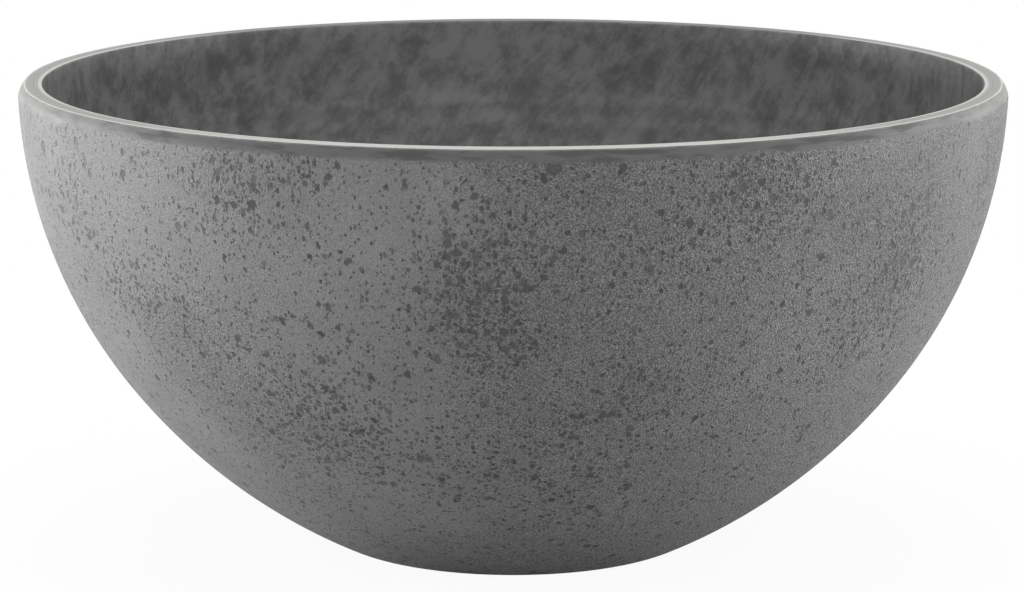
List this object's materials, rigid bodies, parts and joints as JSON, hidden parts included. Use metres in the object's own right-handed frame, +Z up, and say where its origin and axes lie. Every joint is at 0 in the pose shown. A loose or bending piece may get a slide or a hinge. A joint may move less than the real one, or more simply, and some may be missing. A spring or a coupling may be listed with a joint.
{
  "type": "bowl planter",
  "caption": "Round bowl planter with a flat-topped rim, a narrow foot, a lift-out water saver disc on cups and a pull-out drain plug.",
  "frame": {"origin": "centre of the foot, in the plane that the bowl stands on", "axes": "+Z up along the bowl's axis of revolution; -Y faces the pictured front; +X to the right"},
  "size_m": [0.3048, 0.3048, 0.146],
  "materials": {
    "bowl_composite": "stone-filled resin, fine pebbled grey skin with dark pits; smooth rim and inside",
    "plug_rubber": "matt black moulded rubber",
    "disc_plastic": "satin black moulded polypropylene"
  },
  "bodies": {
    "bowl": {"bowl": "bowl_composite"},
    "water_saver_disc": {"disc_plate": "disc_plastic", "disc_cups": "disc_plastic"},
    "drain_plug": {"drain_plug": "plug_rubber"}
  },
  "joints": [
    {"name": "disc_lift_out", "type": "slide", "parent": "bowl", "child": "water_saver_disc", "axis": [0, 0, 1], "range_m": [0, 0.15]},
    {"name": "plug_pull_out", "type": "slide", "parent": "bowl", "child": "drain_plug", "axis": [0, 0, -1], "range_m": [0, 0.03]}
  ]
}
